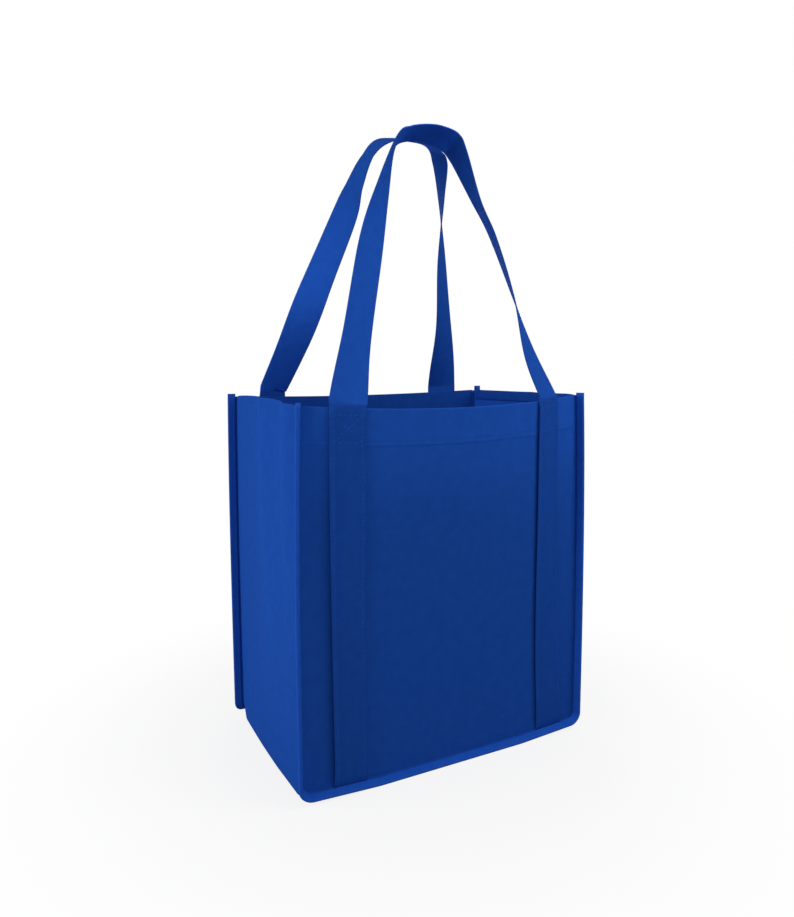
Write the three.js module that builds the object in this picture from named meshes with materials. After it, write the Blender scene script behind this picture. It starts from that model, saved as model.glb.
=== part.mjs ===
// A reusable shopping bag of non-woven fabric, standing open on its base.
// The front and back panels meet one long gusset strip, which is the left side, the bottom and the right
// side, in seams that stand outwards and are bound with folded tape. Each handle is one strap that is sewn
// up its panel, loops above the rim and is sewn down the panel again. A stiff board lies on the bottom.
// Millimetres, +Z up. The front panel faces -Y, and the origin is on the floor under the middle of the bag.

import * as THREE from 'three';
import { mergeVertices } from 'three/addons/utils/BufferGeometryUtils.js';

// Driving dimensions, in millimetres and degrees
const PANEL_WIDTH = 288; // front and back panels, from seam to seam
const GUSSET_WIDTH = 176; // gusset strip, from seam to seam
const RIM_HEIGHT = 327; // floor to the hemmed rim
const FABRIC = 0.5; // thickness of one layer
const LAYER_GAP = 0.3; // air between layers that are sewn together
const SEAM_FLANGE = 7.4; // seam allowance that stands outwards
const FRONT_TURN = 22; // how far the front flange turns from facing out of its panel to facing sideways
const BACK_TURN = 80; // the same at the back
const SEAM_CORNER = 8; // radius of the seam at the two bottom corners
const TAPE_INSET = 1.5; // from the seam to the free edges of the binding tape
const FRONT_TAPE_RISE = [3, 2.2]; // ends of the front binding tape above the rim, left and right
const BACK_TAPE_RISE = [2.6, 5]; // the same at the back
const PANEL_BOW = 31; // how far a panel bows outwards in the middle of its rim
const BOW_POWER = 1.7; // how slowly the bow grows from the base to the rim
const RIM_DRAW = 1.5; // how far each panel's seams lean inwards at the rim
const FRONT_SAG = 5; // dip in the middle of the front rim
const BACK_SAG = 3; // dip in the middle of the back rim
const RIM_LIFT = 3; // how much higher the rims stand at the right than at the left
const FRONT_SHIFT = -2; // how far the front panel stands towards -X
const CORNER_LIFT = 3.5; // how far the front panel's bottom corners stand off the ground
const LIFT_FADE = 60; // how far up the panel the lift of its corners runs out
const FRONT_SWAY = -6; // sideways pull of the front rim towards -X
const BACK_SWAY = 0; // sideways pull of the back rim
const BACK_TUCK = 2.5; // how far the back panel's side seams are drawn in below the rim
const PULL_DEPTH = 2.1; // ripple of the front panel where its right strap pulls at it
const PULL_PLACE = 0.69; // middle of the ripple, in shares of half the panel's width
const PULL_SPREAD = 16; // half the width of the ripple
const PULL_FOOT = 60; // height where the ripple starts
const PULL_FULL = 240; // height where the ripple has its whole depth
const PANEL_HEM = 30; // fabric turned in along the panels' rims
const GUSSET_HEM = 10; // fabric turned in along the gusset's rims
const SIDE_BULGE = 2.5; // how far the sides stand out in their middle
const LEFT_HUMP = 3; // how far the left side's rim rises in its middle
const HUMP_FADE = 120; // how far below the rim the rise runs out
const RIDGE_HEIGHT = 5; // soft ridges in the slack gusset, at the rim
const RIDGE_PLACES = [2, -54]; // where the ridges stand, from the middle of the gusset
const RIDGE_SPREAD = 12; // half the width of a ridge
const RIDGE_FADE = 170; // how far below the rim the ridges run out
const FLOOR_HEIGHT = 0.8; // middle of the bottom's fabric above the ground
const FLOOR_SLOPE = 12; // width of the bottom that climbs to the bound seams
const FLOOR_BLEND = 14; // height over which the sides run into the bottom
const FOLD_RADIUS = 4; // bend between a side and the bottom
const STRAP_WIDTH = 31;
const STRAP_THICKNESS = 1; // folded double
const STRAP_END = 1.6; // from the bottom seam to the strap's ends
const FRONT_STUB = [[1, 3.5], [2, 1.5]]; // front strap up to its crease above the rim: edges of each leg
const BACK_STUB = [[1, 10], [7, 7]]; // the same at the back
const LOOP_FOOT = 2; // height above the rim that the points of the loops are measured from
const HANDLE_RISE = 245; // rim to the middle of the strap at the top of the loop
const HANDLE_REACH = 0.845; // share of the way to the bag's middle plane that the loop leans over
const REACH_POWER = 0.89; // how soon on its way up the loop leans over
const BOARD_THICKNESS = 1.5;
const BOARD_SIDE_GAP = 9; // board to the side folds
const BOARD_SEAM_GAP = 14; // board to the front and back seams
const BOARD_CORNER = 12; // radius of the board's corners

// Facets of the curved pieces
const CORNER_STEPS = 4; // half of a bottom corner of the seams
const FLANGE_STEPS = 3; // out along a panel's seam allowance
const PANEL_STEPS = 36; // across a panel, between its bottom corners
const RISE_STEPS = 14; // up a panel, from the corners to the hem
const STRAP_STEPS = 6; // across a strap
const LOOP_STEPS = 4; // along a loop, from one of its given points to the next
const GUSSET_STEPS = 16; // across the gusset
const LIP_STEPS = 3; // across the part of the gusset that climbs to a seam
const SIDE_STEPS = 9; // up a side of the gusset and its tape
const BASE_STEPS = 9; // along the bottom of the gusset and its tape
const LIFT_STEPS = 2; // those of them over which a front corner rises
const TAPE_STEPS = 6; // round the fold of the tape
const BOARD_STEPS = 6; // round a corner of the board

// Colours
const ROYAL_BLUE = 0x1d50b0;
const BOARD_BLUE = 0x1a3f86;

// Legs of the handles: middle of each leg at the bottom seam and at the rim, in shares of half the panel's
// width. The front legs are sewn a little askew.
const FRONT_LEGS = [
  [-0.698, -0.722],
  [0.784, 0.669],
];
const BACK_LEGS = [
  [-0.682, -0.682],
  [0.735, 0.735],
];

// Loops of the handles: share of the way from the left leg to the right leg, share of HANDLE_RISE, and the
// turn of the strap's width about its length, which is 0 where the width points from the front to the back
const FRONT_LOOP = [
  [0.091, 0.205, 77],
  [0.233, 0.535, 69],
  [0.337, 0.74, 48],
  [0.435, 0.915, 26],
  [0.491, 0.955, 15],
  [0.577, 0.973, 13],
  [0.658, 0.973, 14],
  [0.729, 0.955, 12],
  [0.767, 0.905, -3],
  [0.824, 0.735, -23],
  [0.881, 0.59, -28],
  [0.931, 0.37, -37],
  [0.96, 0.155, -58],
];
const BACK_LOOP = [
  [0.08, 0.215, 92],
  [0.165, 0.445, 131],
  [0.263, 0.69, 149],
  [0.299, 0.805, 169],
  [0.35, 0.915, 177],
  [0.431, 0.976, 164],
  [0.59, 0.993, 171],
  [0.694, 0.97, 160],
  [0.74, 0.925, 172],
  [0.779, 0.795, 157],
  [0.841, 0.56, 132],
  [0.927, 0.28, 114],
];
const FRONT_LAST_SIDE = 1; // the front strap makes half a turn between its legs
const BACK_LAST_SIDE = -1;

// Values that follow from the driving dimensions
const FRONT = -1;
const BACK = 1;
const sway = { [FRONT]: FRONT_SWAY, [BACK]: BACK_SWAY };
const shift = { [FRONT]: FRONT_SHIFT, [BACK]: 0 };
const sag = { [FRONT]: FRONT_SAG, [BACK]: BACK_SAG };
const tuck = { [FRONT]: 0, [BACK]: BACK_TUCK };
const stub = { [FRONT]: FRONT_STUB, [BACK]: BACK_STUB };
const tapeRise = { [FRONT]: FRONT_TAPE_RISE, [BACK]: BACK_TAPE_RISE };
const halfPanel = PANEL_WIDTH / 2;
const halfGusset = GUSSET_WIDTH / 2;
const flangeTurn = {
  [FRONT]: THREE.MathUtils.degToRad(FRONT_TURN),
  [BACK]: THREE.MathUtils.degToRad(BACK_TURN),
};
const layer = (FABRIC + LAYER_GAP) / 2; // panel and gusset fabric, from the middle of the flange
const tapeLayer = layer + FABRIC + LAYER_GAP; // binding tape, from the middle of the flange
const bindingRadius = tapeLayer + FABRIC / 2; // outside of the tape's fold
const seamHeight = { // the bag stands on its bound seams
  [FRONT]: SEAM_FLANGE * Math.sin(flangeTurn[FRONT]) + bindingRadius,
  [BACK]: SEAM_FLANGE * Math.sin(flangeTurn[BACK]) + bindingRadius,
};
const meanSeamHeight = (seamHeight[FRONT] + seamHeight[BACK]) / 2;
const outerCorner = SEAM_CORNER + SEAM_FLANGE;
const halfBase = halfPanel - SEAM_CORNER; // straight part of the bottom seam, from its middle
const liftStart = halfBase * (1 - (2 * LIFT_STEPS) / BASE_STEPS);
const seamSide = RIM_HEIGHT - meanSeamHeight - SEAM_CORNER; // straight run of the seam at a side
const seamBend = (Math.PI / 2) * SEAM_CORNER; // round run of the seam at a bottom corner
const seamLength = 2 * (seamSide + seamBend + halfPanel - SEAM_CORNER); // the seam's whole U, rim to rim
const sideShare = seamSide / seamLength;
const bendShare = (seamSide + seamBend) / seamLength;
const strapLayer = (FABRIC + STRAP_THICKNESS) / 2 + LAYER_GAP; // strap, from the middle of the panel
const halfStrap = STRAP_WIDTH / 2;
const hemEdge = RIM_HEIGHT - PANEL_HEM;

const { clamp, lerp, smoothstep } = THREE.MathUtils;

// Evenly spread stops from one value to another
function stops(from, to, count) {
  return Array.from({ length: count + 1 }, (_, i) => lerp(from, to, i / count));
}

// Heights that the panels and the straps on them share
const rising = {
  [FRONT]: stops(seamHeight[FRONT] + SEAM_CORNER, hemEdge, RISE_STEPS),
  [BACK]: stops(seamHeight[BACK] + SEAM_CORNER, hemEdge, RISE_STEPS),
};
const hemming = [hemEdge + FABRIC, RIM_HEIGHT - PANEL_HEM / 2];

// A fabric sheet: flat stops across and along are carried to their places, and get a thickness
function sheet(name, color, across, along, place, faces) {
  const geometry = new THREE.BoxGeometry(1, 1, 1, across.length - 1, along.length - 1, 1);
  geometry.deleteAttribute('normal');
  geometry.deleteAttribute('uv');
  const points = geometry.getAttribute('position');
  for (let n = 0; n < points.count; n += 1) {
    const i = Math.round((points.getX(n) + 0.5) * (across.length - 1));
    const j = Math.round((points.getY(n) + 0.5) * (along.length - 1));
    const middle = place(across[i], along[j]);
    const right = place(across[Math.min(i + 1, across.length - 1)], along[j]);
    const left = place(across[Math.max(i - 1, 0)], along[j]);
    const above = place(across[i], along[Math.min(j + 1, along.length - 1)]);
    const below = place(across[i], along[Math.max(j - 1, 0)]);
    const normal = right.sub(left).cross(above.sub(below)).normalize();
    const [under, over] = faces(across[i], along[j]);
    middle.addScaledVector(normal, points.getZ(n) > 0 ? over : -under);
    points.setXYZ(n, middle.x, middle.y, middle.z);
  }
  const material = new THREE.MeshStandardMaterial({ color, roughness: 0.85, metalness: 0 });
  const mesh = new THREE.Mesh(mergeVertices(geometry, 1e-4), material);
  mesh.name = name;
  return mesh;
}

// Ripple under the right strap of the front panel: out on its left, in on its right
function pull(side, s, z) {
  const q = (s - PULL_PLACE * halfPanel) / PULL_SPREAD;
  const strength = side === FRONT ? smoothstep(z, PULL_FOOT, PULL_FULL) : 0;
  return PULL_DEPTH * strength * q * Math.exp((1 - q * q) / 2);
}

// Rise of the front panel's bottom corners
function cornerLift(side, s, z) {
  const foot = seamHeight[side];
  const near = clamp((Math.abs(s) - liftStart) / (halfPanel - liftStart), 0, 1);
  return side === FRONT ? CORNER_LIFT * near * (1 - smoothstep(z, foot, foot + LIFT_FADE)) : 0;
}

// A point of a panel's middle surface: s across from its middle, z up. The fabric keeps its width as it bows.
function wall(side, s, z) {
  const foot = seamHeight[side];
  const climb = Math.pow(clamp((z - foot) / (RIM_HEIGHT - foot), 0, 1), BOW_POWER);
  const curve = Math.max((8 * PANEL_BOW * climb) / (PANEL_WIDTH * PANEL_WIDTH), 1e-6);
  const fullness = 1 - (s / halfPanel) ** 2;
  const drawn = 1 - (tuck[side] * (1 - climb * climb)) / halfPanel;
  const x = (drawn * Math.sin(s * curve)) / curve + sway[side] * climb * fullness + shift[side];
  const out = (Math.cos(s * curve) - Math.cos(halfPanel * curve)) / curve;
  const depth = halfGusset - RIM_DRAW * climb + out - pull(side, s, z);
  const drop = sag[side] * fullness - RIM_LIFT * (s / PANEL_WIDTH + 0.5);
  return new THREE.Vector3(x, side * depth, z - climb * drop + cornerLift(side, s, z));
}

// Outward direction of a panel
function wallNormal(side, s, z) {
  const step = 0.5;
  const across = wall(side, s + step, z).sub(wall(side, s - step, z));
  const up = wall(side, s, z + step).sub(wall(side, s, z - step));
  return across.cross(up).normalize().multiplyScalar(-side);
}

// A point of a seam's U, by its share of the way from the left rim to the right rim, and the direction
// that points out of the panel there
function seamAt(side, share, radius) {
  const foot = seamHeight[side];
  const sideRun = RIM_HEIGHT - foot - radius;
  const bend = (Math.PI / 2) * radius;
  const halfRun = sideRun + bend + halfPanel - radius;
  const hand = share < 0.5 ? -1 : 1;
  const fromRim = 2 * halfRun * Math.min(share, 1 - share);
  if (fromRim <= sideRun) {
    return { s: hand * halfPanel, z: RIM_HEIGHT - fromRim, outS: hand, outZ: 0 };
  }
  if (fromRim >= sideRun + bend) {
    return { s: hand * (halfRun - fromRim), z: foot, outS: 0, outZ: -1 };
  }
  const angle = (fromRim - sideRun) / radius;
  const outS = hand * Math.cos(angle);
  const outZ = -Math.sin(angle);
  const s = hand * (halfPanel - radius) + radius * outS;
  return { s, z: foot + radius + radius * outZ, outS, outZ };
}

// A point of the bound flange: reach out from the seam, and lift towards the panel's side of it
function flange(side, seam, reach, lift) {
  const point = wall(side, seam.s, seam.z);
  const sin = Math.sin(flangeTurn[side]);
  const cos = Math.cos(flangeTurn[side]);
  point.x += seam.outS * (sin * reach - cos * lift);
  point.z += seam.outZ * (sin * reach - cos * lift);
  point.y += side * (cos * reach + sin * lift);
  return point;
}

// Where a flat point of a panel lies against its seam: m in from the cut edge, with round bottom corners
function cornered(side, s, z) {
  const foot = seamHeight[side];
  const hand = Math.sign(s) || 1;
  const p = halfPanel + SEAM_FLANGE - Math.abs(s);
  const q = z - (foot - SEAM_FLANGE);
  const m = Math.min(p, q);
  if (p < outerCorner && q < outerCorner) {
    const eighth = (Math.PI / 4) * ((outerCorner - Math.max(p, q)) / (outerCorner - m));
    const angle = p < q ? eighth : Math.PI / 2 - eighth;
    const outS = hand * Math.cos(angle);
    const outZ = -Math.sin(angle);
    const seamRadius = Math.min(outerCorner - m, SEAM_CORNER);
    const middleS = hand * (halfPanel - SEAM_CORNER);
    const middleZ = foot + SEAM_CORNER;
    return { m, s: middleS + seamRadius * outS, z: middleZ + seamRadius * outZ, outS, outZ };
  }
  if (m > SEAM_FLANGE + 1e-6) {
    return { m, s, z, outS: 0, outZ: 0 };
  }
  return p < q
    ? { m, s: hand * halfPanel, z, outS: hand, outZ: 0 }
    : { m, s, z: foot, outS: 0, outZ: -1 };
}

// Front or back panel, with its three bound edges and its hemmed rim
function panel(name, side) {
  const edge = halfPanel + SEAM_FLANGE;
  const corner = stops(-halfPanel, outerCorner - edge, CORNER_STEPS);
  const left = [...stops(-edge, -halfPanel, FLANGE_STEPS).slice(0, -1), ...corner];
  const between = stops(SEAM_CORNER - halfPanel, halfPanel - SEAM_CORNER, PANEL_STEPS).slice(1, -1);
  const across = [...left, ...between, ...left.map((s) => -s).reverse()];
  const seamZ = seamHeight[side];
  const foot = stops(seamZ, seamZ + SEAM_CORNER, CORNER_STEPS);
  const allowance = stops(seamZ - SEAM_FLANGE, seamZ, FLANGE_STEPS).slice(0, -1);
  const along = [...allowance, ...foot, ...rising[side].slice(1), ...hemming, RIM_HEIGHT];
  const place = (s, z) => {
    const spot = cornered(side, s, z);
    const inFlange = spot.m <= SEAM_FLANGE + 1e-6;
    return inFlange ? flange(side, spot, SEAM_FLANGE - spot.m, layer) : wall(side, spot.s, spot.z);
  };
  const faces = (s, z) => {
    const hemmed = z > hemEdge + 1e-6 && Math.abs(s) < halfPanel - SEAM_FLANGE;
    const inner = FABRIC / 2 + (hemmed ? FABRIC : 0);
    return side === FRONT ? [inner, FABRIC / 2] : [FABRIC / 2, inner];
  };
  return sheet(name, ROYAL_BLUE, across, along, place, faces);
}

// Outward push of the soft ridges in a side of the gusset
function ridges(y, z) {
  const strength = smoothstep(z, RIM_HEIGHT - RIDGE_FADE, RIM_HEIGHT);
  const humps = RIDGE_PLACES.map((place) => Math.exp(-(((y - place) / RIDGE_SPREAD) ** 2)));
  return RIDGE_HEIGHT * strength * humps.reduce((sum, hump) => sum + hump, 0);
}

// Gusset: left side, bottom and right side in one strip
function gusset(name) {
  const hemShare = GUSSET_HEM / seamLength;
  const bend = stops(sideShare, bendShare, 2 * CORNER_STEPS);
  const left = [0, ...stops(hemShare, sideShare, SIDE_STEPS), ...bend.slice(1)];
  const bottom = stops(bendShare, 1 - bendShare, BASE_STEPS).slice(1, -1);
  const along = [...left, ...bottom, ...left.map((share) => 1 - share).reverse()];
  const lip = stops(halfGusset - FLOOR_SLOPE, halfGusset, LIP_STEPS);
  const middle = stops(FLOOR_SLOPE - halfGusset, halfGusset - FLOOR_SLOPE, GUSSET_STEPS).slice(1, -1);
  const edge = halfGusset + SEAM_FLANGE;
  const across = [-edge, ...lip.map((w) => -w).reverse(), ...middle, ...lip, edge];
  const place = (share, w) => {
    const side = w < 0 ? FRONT : BACK;
    const inward = halfGusset - Math.abs(w);
    if (inward <= 0) {
      return flange(side, seamAt(side, share, SEAM_CORNER), -inward, -layer);
    }
    const slack = smoothstep(inward, 0, FLOOR_SLOPE);
    const radius = lerp(SEAM_CORNER, FOLD_RADIUS, slack);
    const frontSeam = seamAt(FRONT, share, radius);
    const backSeam = seamAt(BACK, share, radius);
    const way = (w + halfGusset) / GUSSET_WIDTH;
    const front = flange(FRONT, frontSeam, 0, -layer);
    const point = front.lerp(flange(BACK, backSeam, 0, -layer), way);
    const seamZ = lerp(seamHeight[FRONT], seamHeight[BACK], way);
    const outS = lerp(frontSeam.outS, backSeam.outS, way);
    const low = 1 - smoothstep(lerp(frontSeam.z, backSeam.z, way), seamZ, seamZ + FLOOR_BLEND);
    const fullness = 1 - (w / halfGusset) ** 2;
    const hump = LEFT_HUMP * Math.max(-outS, 0) * smoothstep(point.z, RIM_HEIGHT - HUMP_FADE, RIM_HEIGHT);
    point.x += outS * slack * (SIDE_BULGE * fullness + ridges(point.y, point.z));
    point.z += hump * slack * fullness - (seamZ - FLOOR_HEIGHT) * slack * low;
    point.z -= slack * (1 - way) * cornerLift(FRONT, frontSeam.s, frontSeam.z);
    return point;
  };
  const faces = (share, w) => {
    const hemmed = Math.min(share, 1 - share) < hemShare - 1e-6 && Math.abs(w) < halfGusset - FLOOR_SLOPE;
    return [FABRIC / 2, FABRIC / 2 + (hemmed ? FABRIC : 0)];
  };
  return sheet(name, ROYAL_BLUE, along, across, place, faces);
}

// Tape that is folded over a flange, from rim to rim
function binding(name, side) {
  const bend = stops(sideShare, bendShare, 2 * CORNER_STEPS);
  const end = (rise) => [...stops(-rise / seamLength, sideShare, SIDE_STEPS), ...bend.slice(1)];
  const [left, right] = tapeRise[side].map(end);
  const bottom = stops(bendShare, 1 - bendShare, BASE_STEPS).slice(1, -1);
  const along = [...left, ...bottom, ...right.map((share) => 1 - share).reverse()];
  const leaf = SEAM_FLANGE - TAPE_INSET;
  const fold = Math.PI * tapeLayer;
  const across = [0, ...stops(leaf, leaf + fold, TAPE_STEPS), 2 * leaf + fold];
  const place = (share, w) => {
    const seam = seamAt(side, share, SEAM_CORNER);
    if (w <= leaf) {
      return flange(side, seam, TAPE_INSET + w, -tapeLayer);
    }
    if (w >= leaf + fold) {
      return flange(side, seam, TAPE_INSET + 2 * leaf + fold - w, tapeLayer);
    }
    const angle = (w - leaf) / tapeLayer;
    return flange(side, seam, SEAM_FLANGE + tapeLayer * Math.sin(angle), -tapeLayer * Math.cos(angle));
  };
  const order = side === FRONT ? along : [...along].reverse();
  return sheet(name, ROYAL_BLUE, order, across, place, () => [FABRIC / 2, FABRIC / 2]);
}

// Where a leg of a strap lies on its panel
function onPanel(side, s, z) {
  return wall(side, s, z).addScaledVector(wallNormal(side, s, z), strapLayer);
}

// Handle: one strap from the foot of its left leg, over the loop, to the foot of its right leg
function handle(name, side, legs, loop, lastSide) {
  const legStops = [seamHeight[side] + STRAP_END, ...rising[side], ...hemming, RIM_HEIGHT];
  const legRows = legStops.length + 1;
  const onLeg = (leg, w, z) => {
    const [foot, head] = legs[leg];
    const middle = halfPanel * lerp(foot, head, clamp(z / RIM_HEIGHT, 0, 1));
    return onPanel(side, middle + w, z);
  };
  const onCrease = (leg, w) => {
    const [leftEdge, rightEdge] = stub[side][leg];
    return onLeg(leg, w, RIM_HEIGHT + lerp(leftEdge, rightEdge, w / STRAP_WIDTH + 0.5));
  };
  const onRow = (leg, w, n) => (n < legStops.length ? onLeg(leg, w, legStops[n]) : onCrease(leg, w));
  const first = onCrease(0, 0);
  const last = onCrease(1, 0);
  const firstWidth = onCrease(0, halfStrap).sub(first);
  const lastWidth = onCrease(1, halfStrap).sub(last);
  const firstTurn = 90 - THREE.MathUtils.radToDeg(Math.atan2(firstWidth.y, firstWidth.x));
  const lastTurn = THREE.MathUtils.radToDeg(Math.atan2(lastWidth.y, lastWidth.x)) - 90 * lastSide;
  const leftFoot = onLeg(0, 0, RIM_HEIGHT + LOOP_FOOT);
  const rightFoot = onLeg(1, 0, RIM_HEIGHT + LOOP_FOOT);
  const points = loop.map(([share, rise]) => {
    const lean = 1 - HANDLE_REACH * rise ** REACH_POWER;
    const foot = leftFoot.clone().lerp(rightFoot, share);
    return new THREE.Vector3(foot.x, foot.y * lean, foot.z + rise * HANDLE_RISE);
  });
  const route = new THREE.CatmullRomCurve3([first, ...points, last], false, 'catmullrom', 0.5);
  const turnPoints = [firstTurn, ...loop.map((row) => row[2]), lastTurn];
  const turns = new THREE.CatmullRomCurve3(
    turnPoints.map((turn) => new THREE.Vector3(turn, 0, 0)), false, 'catmullrom', 0.5);
  const loopStops = stops(0, 1, LOOP_STEPS * (loop.length + 1)).slice(1, -1);
  const steps = 2 * legRows + loopStops.length - 1;
  const along = stops(0, steps, steps);
  const place = (w, index) => {
    const n = Math.round(index);
    const back = steps - n;
    if (n < legRows) {
      return onRow(0, w, n);
    }
    if (back < legRows) {
      return onRow(1, lastSide * w, back);
    }
    const t = loopStops[n - legRows];
    const heading = route.getTangent(t);
    const outOfPlane = new THREE.Vector3(0, 1, 0).addScaledVector(heading, -heading.y).normalize();
    const inPlane = outOfPlane.clone().cross(heading);
    const turn = THREE.MathUtils.degToRad(turns.getPoint(t).x);
    return route.getPoint(t)
      .addScaledVector(outOfPlane, w * Math.cos(turn))
      .addScaledVector(inPlane, w * Math.sin(turn));
  };
  const across = stops(-halfStrap, halfStrap, STRAP_STEPS);
  return sheet(name, ROYAL_BLUE, across, along, place, () => [STRAP_THICKNESS / 2, STRAP_THICKNESS / 2]);
}

// Board that keeps the bottom flat
function board(name) {
  const halfX = halfPanel - BOARD_SIDE_GAP;
  const halfY = halfGusset - BOARD_SEAM_GAP;
  const outline = new THREE.Shape()
    .moveTo(-halfX + BOARD_CORNER, -halfY)
    .lineTo(halfX - BOARD_CORNER, -halfY)
    .absarc(halfX - BOARD_CORNER, -halfY + BOARD_CORNER, BOARD_CORNER, -Math.PI / 2, 0)
    .absarc(halfX - BOARD_CORNER, halfY - BOARD_CORNER, BOARD_CORNER, 0, Math.PI / 2)
    .absarc(-halfX + BOARD_CORNER, halfY - BOARD_CORNER, BOARD_CORNER, Math.PI / 2, Math.PI)
    .absarc(-halfX + BOARD_CORNER, -halfY + BOARD_CORNER, BOARD_CORNER, Math.PI, Math.PI * 1.5);
  const settings = { depth: BOARD_THICKNESS, bevelEnabled: false, curveSegments: BOARD_STEPS };
  const material = new THREE.MeshStandardMaterial({ color: BOARD_BLUE, roughness: 0.6, metalness: 0 });
  const mesh = new THREE.Mesh(new THREE.ExtrudeGeometry(outline, settings), material);
  mesh.position.z = FLOOR_HEIGHT + FABRIC / 2 + LAYER_GAP;
  mesh.name = name;
  return mesh;
}

const bag = new THREE.Group();
bag.add(panel('front_panel', FRONT));
bag.add(panel('back_panel', BACK));
bag.add(gusset('gusset'));
bag.add(binding('front_binding', FRONT));
bag.add(binding('back_binding', BACK));
bag.add(handle('front_handle', FRONT, FRONT_LEGS, FRONT_LOOP, FRONT_LAST_SIDE));
bag.add(handle('back_handle', BACK, BACK_LEGS, BACK_LOOP, BACK_LAST_SIDE));
bag.add(board('base_insert'));

export default bag;
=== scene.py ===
import math

import bmesh
import bpy
from mathutils import Matrix, Vector, noise


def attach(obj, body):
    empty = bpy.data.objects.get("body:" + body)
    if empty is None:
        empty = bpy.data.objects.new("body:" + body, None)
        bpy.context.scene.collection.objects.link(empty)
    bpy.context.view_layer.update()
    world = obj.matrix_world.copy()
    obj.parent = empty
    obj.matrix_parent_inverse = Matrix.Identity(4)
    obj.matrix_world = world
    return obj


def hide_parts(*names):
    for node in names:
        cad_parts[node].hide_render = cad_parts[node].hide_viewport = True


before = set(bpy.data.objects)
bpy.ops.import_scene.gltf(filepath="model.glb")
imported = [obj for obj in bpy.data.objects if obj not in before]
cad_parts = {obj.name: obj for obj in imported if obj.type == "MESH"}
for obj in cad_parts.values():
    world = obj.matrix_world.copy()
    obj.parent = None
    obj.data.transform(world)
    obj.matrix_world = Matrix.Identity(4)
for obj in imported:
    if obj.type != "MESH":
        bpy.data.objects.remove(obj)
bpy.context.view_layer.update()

# Cut of the bag, in metres
PANEL_WIDTH = 0.288
GUSSET_WIDTH = 0.176
RIM_HEIGHT = 0.327
FABRIC = 0.0005
LAYER_GAP = 0.0003
SEAM_FLANGE = 0.0074
FRONT_TURN = math.radians(22)
FRONT_LEFT_TURN = math.radians(34)
BACK_TURN = math.radians(80)
BACK_BASE_TURN = math.radians(15)
SEAM_CORNER = 0.008
TAPE_INSET = 0.0015
FRONT_TAPE_RISE = (0.003, 0.0022)
BACK_TAPE_RISE = (0.0026, 0.005)
PANEL_HEM = 0.030
GUSSET_HEM = 0.010
STRAP_WIDTH = 0.031
STRAP_THICKNESS = 0.001
STRAP_END = 0.0003
FRONT_STUB = ((0.001, 0.0035), (0.002, 0.0015))
BACK_STUB = ((0.001, 0.010), (0.007, 0.007))

# Lie of the fabric as the bag stands open, in metres
PANEL_BOW = 0.031
BOW_POWER = 1.7
RIM_DRAW = 0.0015
FRONT_SAG = 0.005
BACK_SAG = 0.004
FRONT_LIFT = (0.0, 0.003)
BACK_LIFT = (0.002, 0.003)
FRONT_SHIFT = -0.002
CORNER_LIFT = 0.0035
LIFT_START = 0.0756
LIFT_FADE = 0.060
FRONT_SWAY = -0.006
BACK_SWAY = 0.0
BACK_TUCK = 0.0025
PULL_DEPTH = 0.0021
PULL_PLACE = 0.69
PULL_SPREAD = 0.016
PULL_FOOT = 0.060
PULL_FULL = 0.240
SIDE_BULGE = 0.0025
LEFT_HUMP = 0.003
HUMP_FADE = 0.120
RIDGE_HEIGHT = 0.005
RIDGE_PLACES = (-0.009, -0.065)
RIDGE_SPREAD = 0.012
RIDGE_FADE = 0.170
FLOOR_HEIGHT = 0.0008
FLOOR_SLOPE = 0.012
FLOOR_BLEND = 0.014
FOLD_RADIUS = 0.004
SLACK = 0.0007
SLACK_SIZE = 0.075
SLACK_HOLD = 0.030
PANEL_SLACK_STRETCH = (1.0, 0.6)
PANEL_SLACK_SEED = 3.7
GUSSET_SLACK_STRETCH = (1.6, 0.5)
GUSSET_SLACK_SEED = 5.3
RELIEF_HOLD = 0.010
FRONT_CURL = ((0.0024, 0.0008), (0.0013, 0.0008))
BACK_CURL = ((0.0012, 0.0012), (0.0012, 0.0012))
CURL_WIDTH = 0.006
CURL_RIM_FADE = (-0.002, 0.006)
CURL_FOOT_FADE = 0.020

# Handles: how high and how far they reach, and where their legs are sewn
LOOP_FOOT = 0.002
HANDLE_RISE = 0.245
HANDLE_REACH = 0.845
REACH_POWER = 0.89
FRONT_LEGS = ((-0.698, -0.722), (0.784, 0.669))
BACK_LEGS = ((-0.682, -0.682), (0.735, 0.735))

# Share of the way between the legs, share of HANDLE_RISE, and turn of the strap in degrees
FRONT_LOOP = (
    (0.091, 0.205, 77), (0.233, 0.535, 69), (0.337, 0.74, 48), (0.435, 0.915, 26),
    (0.491, 0.961, 15), (0.577, 0.981, 13), (0.658, 0.981, 14), (0.734, 0.962, 12),
    (0.773, 0.91, -3), (0.83, 0.735, -23), (0.887, 0.59, -28), (0.935, 0.37, -37),
    (0.96, 0.155, -58),
)
BACK_LOOP = (
    (0.08, 0.215, 92), (0.165, 0.445, 131), (0.263, 0.69, 149), (0.299, 0.805, 169),
    (0.35, 0.915, 177), (0.431, 0.976, 164), (0.59, 0.993, 171), (0.694, 0.97, 160),
    (0.74, 0.925, 172), (0.779, 0.795, 157), (0.841, 0.56, 132), (0.927, 0.28, 114),
)

# Sewing
STITCH_PITCH = 0.0036
STITCH_LENGTH = 0.0026
STITCH_WIDTH = 0.0006
STITCH_RISE = 0.0004
STRAP_STITCH_INSET = 0.0030
HEM_STITCH_INSET = 0.0030
TAPE_STITCH_INSET = 0.0018
GUSSET_STITCH_INSET = 0.0020
BOX_STITCH_DROP = 0.0050
HEM_STEP = 0.0004
HEM_STEP_RUN = 0.0008
HEM_LEAD = 0.002
HEM_END_INSET = 0.002
GUSSET_HEM_END_INSET = 0.003
HEM_DENT = 0.00015
GUSSET_DENT = 0.0004
TAPE_DENT = 0.00025
DENT_SPREAD = 0.0011

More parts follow.
